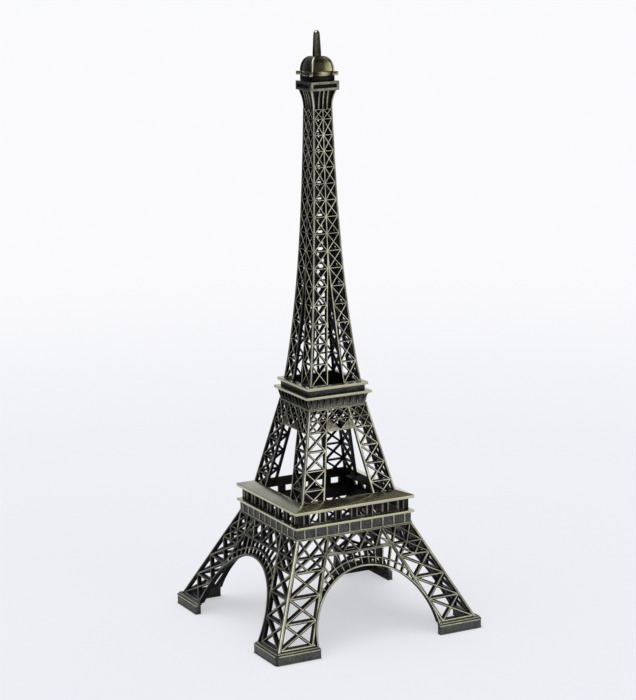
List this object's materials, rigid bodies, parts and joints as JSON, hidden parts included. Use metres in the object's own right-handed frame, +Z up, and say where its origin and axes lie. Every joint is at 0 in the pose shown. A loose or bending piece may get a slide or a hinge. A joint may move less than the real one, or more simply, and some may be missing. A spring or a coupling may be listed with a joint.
{
  "type": "miniature landmark model",
  "caption": "Tall tapering lattice tower souvenir on arched legs, with two galleries, a domed cabin and a spire, in antique brass.",
  "frame": {"origin": "middle of the square footprint, on the table that the foot plinths stand on", "axes": "+Z up along the tower, +X to the right and -Y towards the front of the front side"},
  "size_m": [0.125, 0.125, 0.32],
  "materials": {
    "base_lattice_brass": "antique brass plate on a zinc casting, fronts rubbed bright, sides and recesses near black",
    "mid_lattice_brass": "antique brass plate, fronts rubbed bright, sides near black",
    "upper_lattice_brass": "antique brass plate, fronts rubbed bright, sides near black",
    "first_floor_brass": "antique brass plate, edges rubbed bright, sunk panels mottled dark grey",
    "canopy_brass": "antique brass plate, rubbed slopes and a bright eave",
    "second_floor_brass": "antique brass plate, bright slab edges over a dark wall",
    "top_brass": "antique brass plate, bright frame and ribs, dark recesses",
    "dome_dark_brass": "antique brass plate left dark, rubbed bright on the ribs"
  },
  "bodies": {
    "root": {"base_side_front": "base_lattice_brass", "base_side_right": "base_lattice_brass", "base_side_back": "base_lattice_brass", "base_side_left": "base_lattice_brass", "mid_side_front": "mid_lattice_brass", "mid_side_right": "mid_lattice_brass", "mid_side_back": "mid_lattice_brass", "mid_side_left": "mid_lattice_brass", "upper_side_front": "upper_lattice_brass", "upper_side_right": "upper_lattice_brass", "upper_side_back": "upper_lattice_brass", "upper_side_left": "upper_lattice_brass", "first_floor_frieze": "first_floor_brass", "first_floor_gallery": "first_floor_brass", "canopy_roof": "canopy_brass", "second_floor_cornice": "second_floor_brass", "second_floor_lower_slab": "second_floor_brass", "second_floor_wall": "second_floor_brass", "second_floor_upper_slab": "second_floor_brass", "top_flare": "top_brass", "top_cabin": "top_brass", "top_lantern": "top_brass", "top_dome": "dome_dark_brass", "top_spire": "dome_dark_brass"}
  },
  "joints": []
}
